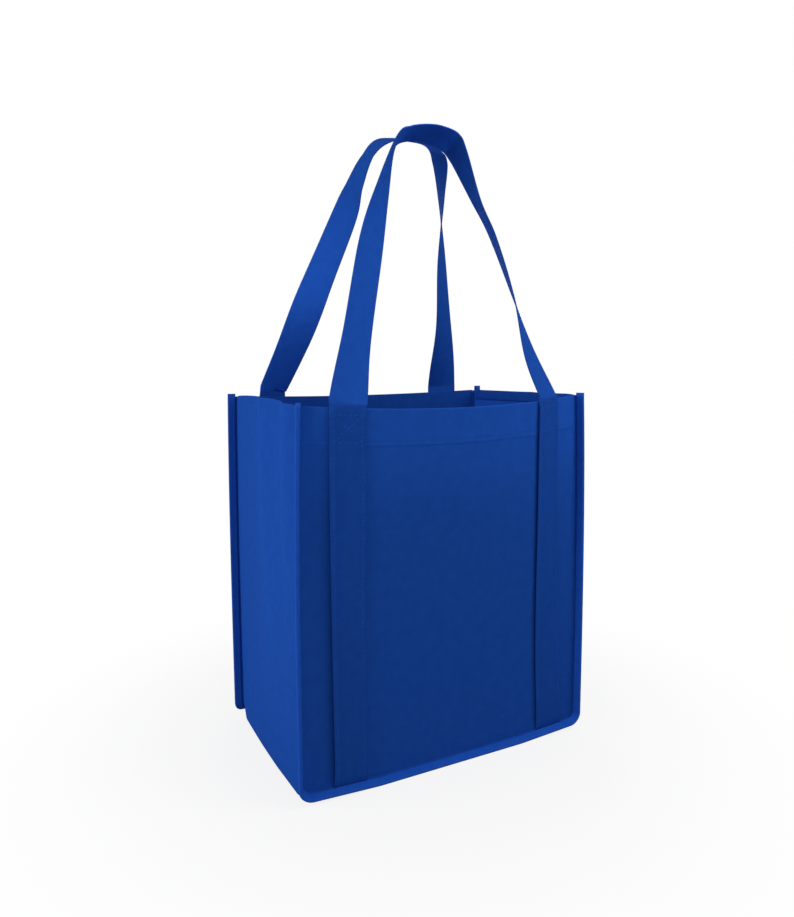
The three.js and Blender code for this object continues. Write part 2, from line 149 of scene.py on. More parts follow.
# Painted light and shade, multiplied into the base colour in place of light showing through the thin fabric:
# more near the open rim and in the free straps, less where layers lie together
RIM_GLOW = 1.16
RIM_GLOW_DEPTH = 0.100
HEM_OUTSIDE_DOUBLED_AND_PAINTED_LIGHT = 1.05
HEM_TINT_RUN = 0.001
HEM_INSIDE_LEFT_PAINTED_LIGHT = 1.12
HEM_INSIDE_RIGHT_PAINTED_SHADE = 0.76
STRAP_PAINTED_SHADOW_INSIDE = 0.75
SIDE_INSIDE_PAINTED_LIGHT = 1.4
RIDGE_GLOW = 1.11
RIDGE_GLOW_SPREAD = 0.028
RIDGE_GLOW_FULL = 0.180
STRAP_SEWN_PAINTED_SHADE = 0.92
FRONT_STRAP_FREE_PAINTED_LIGHT = 1.18
BACK_STRAP_FREE_PAINTED_LIGHT = 1.45
STRAP_FREE_LIGHT_FADE = (0.12, 0.3)
CROWN_UNDER_PAINTED_LIGHT = 1.75
CROWN_FACING = (0.5, 0.9)
FRONT_TAPE_GLOW = 1.35
BACK_TAPE_GLOW = 1.0

# Values that follow
FRONT, BACK = -1, 1
TOLERANCE = 1e-7
SHARE_TOLERANCE = 1e-9
SWAY = {FRONT: FRONT_SWAY, BACK: BACK_SWAY}
STRAP_FREE_PAINTED_LIGHT = {FRONT: FRONT_STRAP_FREE_PAINTED_LIGHT, BACK: BACK_STRAP_FREE_PAINTED_LIGHT}
TAPE_GLOW = {FRONT: FRONT_TAPE_GLOW, BACK: BACK_TAPE_GLOW}
SHIFT = {FRONT: FRONT_SHIFT, BACK: 0.0}
SAG = {FRONT: FRONT_SAG, BACK: BACK_SAG}
RIM_LIFT = {FRONT: FRONT_LIFT, BACK: BACK_LIFT}
TUCK = {FRONT: 0.0, BACK: BACK_TUCK}
TURN = {FRONT: FRONT_TURN, BACK: BACK_TURN}
LEFT_TURN = {FRONT: FRONT_LEFT_TURN, BACK: BACK_TURN}
BASE_TURN = {FRONT: FRONT_TURN, BACK: BACK_BASE_TURN}
STUB = {FRONT: FRONT_STUB, BACK: BACK_STUB}
CURL = {FRONT: FRONT_CURL, BACK: BACK_CURL}
TAPE_RISE = {FRONT: FRONT_TAPE_RISE, BACK: BACK_TAPE_RISE}
HALF_PANEL = PANEL_WIDTH / 2
HALF_GUSSET = GUSSET_WIDTH / 2
HALF_STRAP = STRAP_WIDTH / 2
LAYER = (FABRIC + LAYER_GAP) / 2
TAPE_LAYER = LAYER + FABRIC + LAYER_GAP
BINDING_RADIUS = TAPE_LAYER + FABRIC / 2
SEAM_HEIGHT = {side: SEAM_FLANGE * math.sin(TURN[side]) + BINDING_RADIUS for side in (FRONT, BACK)}
MEAN_SEAM_HEIGHT = (SEAM_HEIGHT[FRONT] + SEAM_HEIGHT[BACK]) / 2
OUTER_CORNER = SEAM_CORNER + SEAM_FLANGE
STRAP_LAYER = (FABRIC + STRAP_THICKNESS) / 2 + LAYER_GAP
SEAM_SIDE = RIM_HEIGHT - MEAN_SEAM_HEIGHT - SEAM_CORNER
SEAM_BEND = math.pi / 2 * SEAM_CORNER
SEAM_LENGTH = 2 * (SEAM_SIDE + SEAM_BEND + HALF_PANEL - SEAM_CORNER)
SIDE_SHARE = SEAM_SIDE / SEAM_LENGTH
BEND_SHARE = (SEAM_SIDE + SEAM_BEND) / SEAM_LENGTH
HEM_EDGE = RIM_HEIGHT - PANEL_HEM
HEM_FOLD = math.pi * LAYER


def lerp(a, b, share):
    return a + (b - a) * share


def clamp(x, low, high):
    return max(low, min(high, x))


def smooth(x, low, high):
    t = clamp((x - low) / (high - low), 0, 1)
    return t * t * (3 - 2 * t)


def stops(start, end, count):
    """Evenly spaced values from start to end, in count steps."""
    return [lerp(start, end, i / count) for i in range(count + 1)]


def joined(*runs):
    """Runs of stops in one list, without the doubles where they meet."""
    out = list(runs[0])
    for run in runs[1:]:
        out += [x for x in run if x > out[-1] + TOLERANCE]
    return out


def dent(distance):
    """Share of a stitch line's full dent at a distance from the line."""
    return math.exp(-(distance / DENT_SPREAD) ** 2)


def near_ridges(y, spread):
    return sum(math.exp(-((y - place) / spread) ** 2) for place in RIDGE_PLACES)


def pull(side, s, z):
    """Ripple under the right strap of the front panel: out on its left, in on its right."""
    if side == BACK:
        return 0.0
    q = (s - PULL_PLACE * HALF_PANEL) / PULL_SPREAD
    return PULL_DEPTH * smooth(z, PULL_FOOT, PULL_FULL) * q * math.exp((1 - q * q) / 2)


def corner_lift(side, s, z):
    """Rise of the front panel's bottom corners."""
    if side == BACK:
        return 0.0
    near = clamp((abs(s) - LIFT_START) / (HALF_PANEL - LIFT_START), 0, 1)
    foot = SEAM_HEIGHT[side]
    return CORNER_LIFT * near * (1 - smooth(z, foot, foot + LIFT_FADE))


# Surface of a panel: s across from its middle, z up
def wall(side, s, z):
    foot = SEAM_HEIGHT[side]
    climb = clamp((z - foot) / (RIM_HEIGHT - foot), 0, 1) ** BOW_POWER
    curve = max(8 * PANEL_BOW * climb / PANEL_WIDTH ** 2, 1e-4)
    fullness = 1 - (s / HALF_PANEL) ** 2
    drawn = 1 - TUCK[side] * (1 - climb ** 2) / HALF_PANEL
    x = drawn * math.sin(s * curve) / curve + SWAY[side] * climb * fullness + SHIFT[side]
    out = (math.cos(s * curve) - math.cos(HALF_PANEL * curve)) / curve
    depth = HALF_GUSSET - RIM_DRAW * climb + out - pull(side, s, z)
    drop = SAG[side] * fullness - lerp(*RIM_LIFT[side], s / PANEL_WIDTH + 0.5)
    return Vector((x, side * depth, z - climb * drop + corner_lift(side, s, z)))


def wall_normal(side, s, z):
    step = 0.0005
    across = wall(side, s + step, z) - wall(side, s - step, z)
    up = wall(side, s, z + step) - wall(side, s, z - step)
    return across.cross(up).normalized() * -side


def slack(side, s, z):
    """Soft unevenness of the fabric, which runs out at the seams."""
    wide, tall = PANEL_SLACK_STRETCH
    spot = Vector((s / SLACK_SIZE * wide, z / SLACK_SIZE * tall, side * PANEL_SLACK_SEED))
    hold = smooth(HALF_PANEL - abs(s), 0, SLACK_HOLD) * smooth(z - SEAM_HEIGHT[side], 0, SLACK_HOLD)
    return SLACK * hold * noise.noise(spot)


def surface(side, s, z, lift=0.0):
    return wall(side, s, z) + wall_normal(side, s, z) * (slack(side, s, z) + lift)


# Seam of a panel and the gusset: a U from the left rim to the right rim
def seam_at(side, share, radius=SEAM_CORNER):
    foot = SEAM_HEIGHT[side]
    side_run = RIM_HEIGHT - foot - radius
    bend = math.pi / 2 * radius
    half_run = side_run + bend + HALF_PANEL - radius
    hand = -1 if share < 0.5 else 1
    from_rim = 2 * half_run * min(share, 1 - share)
    if from_rim <= side_run:
        return hand * HALF_PANEL, RIM_HEIGHT - from_rim, hand, 0.0
    if from_rim >= side_run + bend:
        return hand * (half_run - from_rim), foot, 0.0, -1.0
    angle = (from_rim - side_run) / radius
    out_s, out_z = hand * math.cos(angle), -math.sin(angle)
    return hand * (HALF_PANEL - radius) + radius * out_s, foot + radius + radius * out_z, out_s, out_z


def turn_at(side, out_s, out_z):
    """How far a flange turns sideways: its own way at the left, along the bottom and at the right."""
    upright = LEFT_TURN[side] if out_s < 0 else TURN[side]
    turn = lerp(upright, BASE_TURN[side], out_z ** 2)
    return math.sin(turn), math.cos(turn)


def flange(side, seam, reach, lift):
    s, z, out_s, out_z = seam
    sin, cos = turn_at(side, out_s, out_z)
    sideways = sin * reach - cos * lift
    outward = side * (cos * reach + sin * lift)
    return wall(side, s, z) + Vector((out_s * sideways, outward, out_z * sideways))


def cornered(side, s, z):
    """A flat point of a panel's cut: how far in from the cut edge, and its seam or surface place."""
    foot = SEAM_HEIGHT[side]
    hand = 1 if s >= 0 else -1
    p = HALF_PANEL + SEAM_FLANGE - abs(s)
    q = z - (foot - SEAM_FLANGE)
    m = min(p, q)
    if p < OUTER_CORNER and q < OUTER_CORNER:
        eighth = math.pi / 4 * (OUTER_CORNER - max(p, q)) / (OUTER_CORNER - m)
        angle = eighth if p < q else math.pi / 2 - eighth
        out_s, out_z = hand * math.cos(angle), -math.sin(angle)
        radius = min(OUTER_CORNER - m, SEAM_CORNER)
        middle = hand * (HALF_PANEL - SEAM_CORNER)
        return m, (middle + radius * out_s, foot + SEAM_CORNER + radius * out_z, out_s, out_z)
    if m > SEAM_FLANGE + TOLERANCE:
        return m, (s, z, 0.0, 0.0)
    if p < q:
        return m, (hand * HALF_PANEL, z, hand, 0.0)
    return m, (s, foot, 0.0, -1.0)


# A piece of fabric: a flat grid whose points are carried to their places
def cloth(name, across, along, place, painted_light, thickness, materials, node, keep=None):
    mesh = bpy.data.meshes.new(name)
    bm = bmesh.new()
    flat = bm.loops.layers.uv.new("flat")
    outside_painted_light = bm.verts.layers.float.new("outside_painted_light")
    inside_painted_light = bm.verts.layers.float.new("inside_painted_light")
    columns, rows = len(across) - 1, len(along) - 1
    bmesh.ops.create_grid(bm, x_segments=columns, y_segments=rows, size=0.5)
    cut = {}
    for v in bm.verts:
        u = across[round((v.co.x + 0.5) * columns)]
        w = along[round((v.co.y + 0.5) * rows)]
        cut[v] = (u, w)
        v.co = place(u, w)
        # Painted light and shade for the outer and inner faces, kept as point attributes.
        v[outside_painted_light], v[inside_painted_light] = painted_light(u, w)
    for face in bm.faces:
        for loop in face.loops:
            loop[flat].uv = cut[loop.vert]
    if keep:
        spare = [f for f in bm.faces if not all(keep(*cut[v]) for v in f.verts)]
        bmesh.ops.delete(bm, geom=spare, context="FACES")
    for face in bm.faces:
        face.smooth = True
    bm.to_mesh(mesh)
    bm.free()
    piece = bpy.data.objects.new(name, mesh)
    bpy.context.scene.collection.objects.link(piece)
    wall_modifier = piece.modifiers.new("thickness", "SOLIDIFY")
    wall_modifier.thickness = thickness
    wall_modifier.offset = 0
    wall_modifier.material_offset = 1
    for material in materials:
        mesh.materials.append(material)
    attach(piece, "root")
    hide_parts(node)
    return piece


# Front and back panels
def panel(side, name, node, materials, legs):
    edge = HALF_PANEL + SEAM_FLANGE
    foot = SEAM_HEIGHT[side]
    inner = HALF_PANEL - SEAM_CORNER
    across = joined(
        stops(-edge, -HALF_PANEL, 4), stops(-HALF_PANEL, -inner, 6), stops(-inner, inner, 90),
        stops(inner, HALF_PANEL, 6), stops(HALF_PANEL, edge, 4))
    top = RIM_HEIGHT
    along = joined(
        stops(foot - SEAM_FLANGE, foot, 4), stops(foot, foot + SEAM_CORNER, 6),
        stops(foot + SEAM_CORNER, HEM_EDGE - HEM_LEAD, 80), stops(HEM_EDGE - HEM_LEAD, top, 40),
        stops(top, top + HEM_FOLD, 5), stops(top + HEM_FOLD, top + HEM_FOLD + PANEL_HEM, 12))
    stitch_z = HEM_EDGE + HEM_STITCH_INSET

    def proud(z):
        doubled = HEM_STEP * smooth(z, HEM_EDGE - HEM_STEP_RUN, HEM_EDGE + HEM_STEP_RUN)
        return doubled - HEM_DENT * dent(z - stitch_z)

    # Painted light and shade: the turned-in hem lighter on the left and darker on the right, the outside
    # lighter near the rim and, partly from its second layer, on the doubled hem, and a painted strap shadow
    # on the inside behind the straps.
    def painted_light(u, z):
        s = -side * u
        if z > top + HEM_FOLD / 2:
            return lerp(HEM_INSIDE_LEFT_PAINTED_LIGHT, HEM_INSIDE_RIGHT_PAINTED_SHADE, smooth(s, -HALF_PANEL, 0)), 1.0
        middles = (HALF_PANEL * lerp(low_end, high_end, z / RIM_HEIGHT) for low_end, high_end in legs)
        backed = any(abs(s - middle) < HALF_STRAP for middle in middles)
        doubled = lerp(1.0, HEM_OUTSIDE_DOUBLED_AND_PAINTED_LIGHT, smooth(z, HEM_EDGE - HEM_TINT_RUN, HEM_EDGE + HEM_TINT_RUN))
        glow = lerp(1.0, RIM_GLOW, smooth(z, top - RIM_GLOW_DEPTH, HEM_EDGE))
        return doubled * glow, STRAP_PAINTED_SHADOW_INSIDE if backed else 1.0

    def place(u, z):
        s = -side * u
        if z > top:
            turned = min((z - top) / LAYER, math.pi)
            down = max(z - top - HEM_FOLD, 0)
            lift = proud(top) - LAYER + LAYER * math.cos(turned)
            point = surface(side, s, top - down, lift)
            return point + Vector((0, 0, LAYER * math.sin(turned)))
        m, spot = cornered(side, s, z)
        if m <= SEAM_FLANGE + TOLERANCE:
            return flange(side, spot, SEAM_FLANGE - m, LAYER)
        hold = smooth(HALF_PANEL - abs(s), 0, RELIEF_HOLD)
        return surface(side, spot[0], spot[1], hold * proud(z))

    def keep(u, z):
        return z <= top + TOLERANCE or abs(u) < HALF_PANEL - HEM_END_INSET

    piece = cloth(name, across, along, place, painted_light, FABRIC, materials, node, keep)
    return piece


# Gusset: left side, bottom and right side
def ridges(y, z):
    strength = smooth(z, RIM_HEIGHT - RIDGE_FADE, RIM_HEIGHT)
    return RIDGE_HEIGHT * strength * near_ridges(y, RIDGE_SPREAD)


def gusset_place(share, w, lift=0.0):
    """Share along the strip from the left rim to the right rim, w from the front to the back."""
    side = FRONT if w < 0 else BACK
    inward = HALF_GUSSET - abs(w)
    if inward <= 0:
        return flange(side, seam_at(side, share), -inward, -LAYER)
    ease = smooth(inward, 0, FLOOR_SLOPE)
    radius = lerp(SEAM_CORNER, FOLD_RADIUS, ease)
    front_seam, back_seam = seam_at(FRONT, share, radius), seam_at(BACK, share, radius)
    way = (w + HALF_GUSSET) / GUSSET_WIDTH
    point = flange(FRONT, front_seam, 0, -LAYER).lerp(flange(BACK, back_seam, 0, -LAYER), way)
    seam_z = lerp(SEAM_HEIGHT[FRONT], SEAM_HEIGHT[BACK], way)
    out_s = lerp(front_seam[2], back_seam[2], way)
    low = 1 - smooth(lerp(front_seam[1], back_seam[1], way), seam_z, seam_z + FLOOR_BLEND)
    fullness = 1 - (w / HALF_GUSSET) ** 2
    hump = LEFT_HUMP * max(-out_s, 0) * smooth(point.z, RIM_HEIGHT - HUMP_FADE, RIM_HEIGHT)
    wide, tall = GUSSET_SLACK_STRETCH
    spot = Vector((w / SLACK_SIZE * wide, point.z / SLACK_SIZE * tall, out_s * GUSSET_SLACK_SEED))
    soft = SLACK * noise.noise(spot)
    point.x += out_s * (ease * (SIDE_BULGE * fullness + ridges(point.y, point.z) + soft) + lift)
    point.z += hump * ease * fullness - (seam_z - FLOOR_HEIGHT) * ease * low
    point.z -= ease * (1 - way) * corner_lift(FRONT, front_seam[0], front_seam[1])
    return point


def gusset(name, node, materials):
    hem_share = GUSSET_HEM / SEAM_LENGTH
    fold_share = HEM_FOLD / SEAM_LENGTH
    left = joined(
        stops(-fold_share - hem_share, -fold_share, 5), stops(-fold_share, 0, 5), stops(0, hem_share, 8),
        stops(hem_share, SIDE_SHARE, 80), stops(SIDE_SHARE, BEND_SHARE, 14))
    along = joined(left, stops(BEND_SHARE, 1 - BEND_SHARE, 50), [1 - x for x in reversed(left)])
    edge = HALF_GUSSET + SEAM_FLANGE
    flat = HALF_GUSSET - FLOOR_SLOPE
    half = joined(stops(0, flat, 30), stops(flat, HALF_GUSSET, 6), stops(HALF_GUSSET, edge, 3))
    across = [-w for w in reversed(half)] + half[1:]
    stitch = (GUSSET_HEM - GUSSET_STITCH_INSET) / SEAM_LENGTH

    def proud(share):
        near = min(share, 1 - share)
        return -GUSSET_DENT * dent((near - stitch) * SEAM_LENGTH)

    def place(share, v):
        w = -v
        beyond = max(-share, share - 1, 0) * SEAM_LENGTH
        if beyond > 0:
            turned = min(beyond / LAYER, math.pi)
            down = max(beyond - HEM_FOLD, 0) / SEAM_LENGTH
            at = down if share < 0.5 else 1 - down
            point = gusset_place(at, w, -LAYER + LAYER * math.cos(turned))
            return point + Vector((0, 0, LAYER * math.sin(turned)))
        return gusset_place(share, w, proud(share) * smooth(HALF_GUSSET - abs(w), 0, RELIEF_HOLD))

    # Painted highlight along the side's ridges outside, and painted light over the whole inside.
    def painted_light(share, v):
        if min(share, 1 - share) < -fold_share / 2:
            return 1.0, 1.0
        point = gusset_place(clamp(share, 0, 1), -v)
        near = near_ridges(point.y, RIDGE_GLOW_SPREAD)
        return lerp(1.0, RIDGE_GLOW, near * smooth(point.z, 0, RIDGE_GLOW_FULL)), SIDE_INSIDE_PAINTED_LIGHT

    def keep(share, v):
        on_strip = -SHARE_TOLERANCE <= share <= 1 + SHARE_TOLERANCE
        return on_strip or abs(v) < HALF_GUSSET - GUSSET_HEM_END_INSET

    piece = cloth(name, along, across, place, painted_light, FABRIC, materials, node, keep)
    for loop in piece.data.uv_layers["flat"].data:
        loop.uv.x *= SEAM_LENGTH
    return piece


# Binding tape, folded over the flange of a panel's seam
TAPE_LEAF = SEAM_FLANGE - TAPE_INSET
TAPE_FOLD = math.pi * TAPE_LAYER


def tape_place(side, share, w):
    seam = seam_at(side, share)
    if w <= TAPE_LEAF:
        return flange(side, seam, TAPE_INSET + w, -TAPE_LAYER)
    if w >= TAPE_LEAF + TAPE_FOLD:
        return flange(side, seam, TAPE_INSET + 2 * TAPE_LEAF + TAPE_FOLD - w, TAPE_LAYER)
    angle = (w - TAPE_LEAF) / TAPE_LAYER
    return flange(side, seam, SEAM_FLANGE + TAPE_LAYER * math.sin(angle), -TAPE_LAYER * math.cos(angle))


def binding(side, name, node, materials):
    left, right = (joined(stops(-rise / SEAM_LENGTH, SIDE_SHARE, 90), stops(SIDE_SHARE, BEND_SHARE, 14))
                   for rise in TAPE_RISE[side])
    along = joined(left, stops(BEND_SHARE, 1 - BEND_SHARE, 70), [1 - x for x in reversed(right)])
    if side == FRONT:
        along = [1 - x for x in reversed(along)]
    total = 2 * TAPE_LEAF + TAPE_FOLD
    across = joined(
        stops(0, TAPE_LEAF, 6), stops(TAPE_LEAF, TAPE_LEAF + TAPE_FOLD, 8),
        stops(TAPE_LEAF + TAPE_FOLD, total, 6))

    def place(w, share):
        pinch = TAPE_DENT * dent(total - w - TAPE_STITCH_INSET)
        return tape_place(side, share if side == BACK else 1 - share, w) - Vector((0, side * pinch, 0))

    # Painted light: the front binding is lightened on both faces, the back binding is left as it is.
    def painted_light(w, share):
        return TAPE_GLOW[side], TAPE_GLOW[side]

    piece = cloth(name, across, along, place, painted_light, FABRIC, materials, node)
    for loop in piece.data.uv_layers["flat"].data:
        loop.uv.y *= SEAM_LENGTH
    return piece


# Handles
STUB_ROWS = 6
STRAP_PROUD = 0.0004
CAUGHT_RUN = 0.008
STRAP_EDGE = 0.0003
NORMAL_REACH = 0.001


def spline(points, t):
    """Uniform Catmull-Rom curve through the points, t from 0 to 1."""
    spans = len(points) - 1
    i = min(int(t * spans), spans - 1)
    f = t * spans - i
    p1, p2 = points[i], points[i + 1]
    p0 = points[i - 1] if i else p1 * 2 - p2
    p3 = points[i + 2] if i + 2 <= spans else p2 * 2 - p1
    m1, m2 = (p2 - p0) / 2, (p3 - p1) / 2
    return p1 + m1 * f + (3 * (p2 - p1) - 2 * m1 - m2) * f ** 2 + (2 * (p1 - p2) + m1 + m2) * f ** 3


class Strap:
    """One strap: up its left leg, over the loop and down its right leg, by steps along its middle."""

    def __init__(self, side, legs, loop, last_side):
        self.side, self.legs, self.last_side = side, legs, last_side
        self.sewn_stops = stops(SEAM_HEIGHT[side] + STRAP_END, RIM_HEIGHT, 108)
        self.leg_rows = len(self.sewn_stops) + STUB_ROWS
        crease = self.leg_rows - 1
        first, last = self.on_row(0, 0, crease), self.on_row(1, 0, crease)
        first_width = self.on_row(0, HALF_STRAP, crease) - first
        last_width = self.on_row(1, HALF_STRAP, crease) - last
        turns = [90 - math.degrees(math.atan2(first_width.y, first_width.x))]
        self.points = [first]
        left_foot, right_foot = (self.on_leg(leg, 0, RIM_HEIGHT + LOOP_FOOT) for leg in (0, 1))
        for share, rise, turn in loop:
            foot = left_foot.lerp(right_foot, share)
            lean = 1 - HANDLE_REACH * rise ** REACH_POWER
            self.points.append(Vector((foot.x, foot.y * lean, foot.z + rise * HANDLE_RISE)))
            turns.append(turn)
        self.points.append(last)
        turns.append(math.degrees(math.atan2(last_width.y, last_width.x)) - 90 * last_side)
        self.turns = [math.radians(t) for t in turns]
        self.loop_stops = stops(0, 1, 16 * (len(loop) + 1))[1:-1]
        self.steps = 2 * self.leg_rows + len(self.loop_stops) - 1
        middle = [self.place(0.0, n) for n in range(self.steps + 1)]
        self.lengths = [0.0]
        for a, b in zip(middle, middle[1:]):
            self.lengths.append(self.lengths[-1] + (b - a).length)

    def on_leg(self, leg, w, z):
        foot, head = self.legs[leg]
        s = HALF_PANEL * lerp(foot, head, clamp(z / RIM_HEIGHT, 0, 1)) + w
        curl = CURL[self.side][leg][0 if w < 0 else 1] * smooth(abs(w), HALF_STRAP - CURL_WIDTH, HALF_STRAP)
        curl *= smooth(RIM_HEIGHT - z, *CURL_RIM_FADE) * smooth(z - SEAM_HEIGHT[self.side], 0, CURL_FOOT_FADE)
        caught = smooth(z - SEAM_HEIGHT[self.side], 0, CAUGHT_RUN)
        return surface(self.side, s, z, lerp(STRAP_THICKNESS / 2, STRAP_LAYER + STRAP_PROUD, caught) + curl)

    def on_row(self, leg, w, n):
        """A row of a leg: the last ones stand up from the rim to the crease."""
        if n < len(self.sewn_stops):
            return self.on_leg(leg, w, self.sewn_stops[n])
        up = (n + 1 - len(self.sewn_stops)) / STUB_ROWS
        left_edge, right_edge = STUB[self.side][leg]
        return self.on_leg(leg, w, RIM_HEIGHT + up * lerp(left_edge, right_edge, w / STRAP_WIDTH + 0.5))

    def place(self, w, n):
        back = self.steps - n
        if n < self.leg_rows:
            return self.on_row(0, w, n)
        if back < self.leg_rows:
            return self.on_row(1, self.last_side * w, back)
        t = self.loop_stops[n - self.leg_rows]
        step = 0.0005
        heading = (spline(self.points, min(t + step, 1)) - spline(self.points, max(t - step, 0))).normalized()
        across = Vector((0, 1, 0)) - heading * heading.y
        across.normalize()
        inward = across.cross(heading)
        turn = spline(self.turns, t)
        return spline(self.points, t) + across * (w * math.cos(turn)) + inward * (w * math.sin(turn))

    def normal(self, w, n):
        a, b = max(n - 1, 0), min(n + 1, self.steps)
        along = self.place(w, b) - self.place(w, a)
        across = self.place(w + NORMAL_REACH, n) - self.place(w - NORMAL_REACH, n)
        return across.cross(along).normalized()


def handle(strap, name, node, materials):
    inner = HALF_STRAP - CURL_WIDTH
    across = joined(stops(-HALF_STRAP, -inner, 6), stops(-inner, inner, 6), stops(inner, HALF_STRAP, 6))
    along = list(range(strap.steps + 1))

    # Painted shade on the sewn legs, painted light on the free loop near its feet, and more painted light on
    # the face of the loop that looks down.
    def painted_light(w, n):
        if n < strap.leg_rows or strap.steps - n < strap.leg_rows:
            return STRAP_SEWN_PAINTED_SHADE, STRAP_SEWN_PAINTED_SHADE
        free = (n - strap.leg_rows) / len(strap.loop_stops)
        glow = lerp(STRAP_FREE_PAINTED_LIGHT[strap.side], 1.0, smooth(free, *STRAP_FREE_LIGHT_FADE))
        facing = strap.normal(w, n).z
        under = lerp(1.0, CROWN_UNDER_PAINTED_LIGHT, smooth(abs(facing), *CROWN_FACING))
        return (glow, glow * under) if facing > 0 else (glow * under, glow)

    piece = cloth(name, across, along, strap.place, painted_light, STRAP_THICKNESS, materials, node)
    for loop in piece.data.uv_layers["flat"].data:
        loop.uv.y = strap.lengths[round(loop.uv.y)]
    rounded = piece.modifiers.new("soft edge", "BEVEL")
    rounded.width = STRAP_EDGE
    rounded.segments = 2
    rounded.limit_method = "ANGLE"
    rounded.angle_limit = math.radians(60)
    return piece


# Sewing thread
def stitch_mesh():
    mesh = bpy.data.meshes.new("stitch")
    bm = bmesh.new()
    bmesh.ops.create_icosphere(bm, subdivisions=1, radius=0.5)
    bmesh.ops.scale(bm, vec=(STITCH_LENGTH, STITCH_WIDTH, STITCH_RISE), verts=bm.verts[:])
    bm.to_mesh(mesh)
    bm.free()
    return mesh


def stitched(bm, stitch, path, out):
    """Stitches along a path of points, with the outward direction at each point."""
    run = [0.0]
    for a, b in zip(path, path[1:]):
        run.append(run[-1] + (b - a).length)
    count = int(run[-1] / STITCH_PITCH)
    i = 0
    for k in range(count):
        at = (k + 0.5) * run[-1] / count
        while run[i + 1] < at:
            i += 1
        share = (at - run[i]) / (run[i + 1] - run[i])
        point = path[i].lerp(path[i + 1], share)
        x = (path[i + 1] - path[i]).normalized()
        z = out[i].lerp(out[i + 1], share)
        z = (z - x * z.dot(x)).normalized()
        y = z.cross(x)
        turn = Matrix((x, y, z)).transposed().to_4x4()
        copy = stitch.copy()
        copy.transform(Matrix.Translation(point) @ turn)
        bm.from_mesh(copy)
        bpy.data.meshes.remove(copy)


def sewing(name, rows, material):
    mesh = bpy.data.meshes.new(name)
    bm = bmesh.new()
    stitch = stitch_mesh()
    for path, out in rows:
        stitched(bm, stitch, path, out)
    for face in bm.faces:
        face.smooth = True
    bm.to_mesh(mesh)
    bm.free()
    bpy.data.meshes.remove(stitch)
    piece = bpy.data.objects.new(name, mesh)
    bpy.context.scene.collection.objects.link(piece)
    mesh.materials.append(material)
    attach(piece, "root")
    return piece


def strap_rows(strap):
    rows = []
    row_w = HALF_STRAP - STRAP_STITCH_INSET
    legs = strap.leg_rows
    for w in (-row_w, row_w):
        for face in (-1, 1):
            path, out = [], []
            for n in range(strap.steps + 1):
                normal = strap.normal(w, n) * face
                on_panel = n < legs or strap.steps - n < legs
                if on_panel and normal.y * strap.side < 0:
                    if len(path) > 1:
                        rows.append((path, out))
                    path, out = [], []
                    continue
                path.append(strap.place(w, n) + normal * STRAP_THICKNESS / 2)
                out.append(normal)
            if len(path) > 1:
                rows.append((path, out))
    return rows


def strap_box_rows(strap):
    """The sewn box with a cross at the top of each leg."""
    rows = []
    high, low = RIM_HEIGHT - BOX_STITCH_DROP, HEM_EDGE + HEM_STITCH_INSET
    wide = HALF_STRAP - STRAP_STITCH_INSET
    lift = Vector((0, strap.side, 0))
    for leg in (0, 1):
        for a, b in (((-wide, high), (wide, high)), ((-wide, low), (wide, low)),
                     ((-wide, high), (wide, low)), ((-wide, low), (wide, high))):
            path = [strap.on_leg(leg, lerp(a[0], b[0], t), lerp(a[1], b[1], t)) + lift * STRAP_THICKNESS / 2
                    for t in stops(0, 1, 12)]
            rows.append((path, [lift] * len(path)))
    return rows


def hem_rows(side, strap):
    """The hem's stitch line, between and beside the straps."""
    z = HEM_EDGE + HEM_STITCH_INSET
    left, right = (HALF_PANEL * lerp(foot, head, z / RIM_HEIGHT) for foot, head in strap.legs)
    rows = []
    for a, b in ((-HALF_PANEL + HEM_END_INSET, left - HALF_STRAP), (left + HALF_STRAP, right - HALF_STRAP),
                 (right + HALF_STRAP, HALF_PANEL - HEM_END_INSET)):
        ss = stops(a, b, 40)
        path = [surface(side, s, z, HEM_STEP - HEM_DENT + FABRIC / 2) for s in ss]
        rows.append((path, [wall_normal(side, s, z) for s in ss]))
    return rows


def gusset_hem_rows():
    rows = []
    share = (GUSSET_HEM - GUSSET_STITCH_INSET) / SEAM_LENGTH
    end = HALF_GUSSET - GUSSET_HEM_END_INSET
    for at, hand in ((share, -1), (1 - share, 1)):
        ws = stops(-end, end, 60)
        out = Vector((hand, 0, 0))
        rows.append(([gusset_place(at, w, -GUSSET_DENT) + out * FABRIC / 2 for w in ws], [out] * len(ws)))
    return rows


def tape_rows(side):
    rows = []
    for w, lift in ((TAPE_STITCH_INSET, -1), (2 * TAPE_LEAF + TAPE_FOLD - TAPE_STITCH_INSET, 1)):
        path, out = [], []
        for share in stops(0, 1, 300):
            s, z, out_s, out_z = seam_at(side, share)
            sin, cos = turn_at(side, out_s, out_z)
            normal = Vector((-out_s * cos, side * sin, -out_z * cos)) * lift
            path.append(tape_place(side, share, w) + normal * FABRIC / 2)
            out.append(normal)
        rows.append((path, out))
    return rows


# Finishes
BLUE_DEEP = (0.0112, 0.074, 0.402, 1.0)
BLUE_FLEECE = (0.0132, 0.0845, 0.452, 1.0)
THREAD_BLUE = (0.030, 0.165, 0.720, 1.0)
BOARD_BLUE = (0.010, 0.050, 0.238, 1.0)
DOT_PITCH = 0.0015
FIBRE_SIZE = 0.0009


def new_material(name):
    material = bpy.data.materials.new(name)
    material.use_nodes = True
    nodes, links = material.node_tree.nodes, material.node_tree.links
    shader = nodes["Principled BSDF"]
    return material, nodes, links, shader


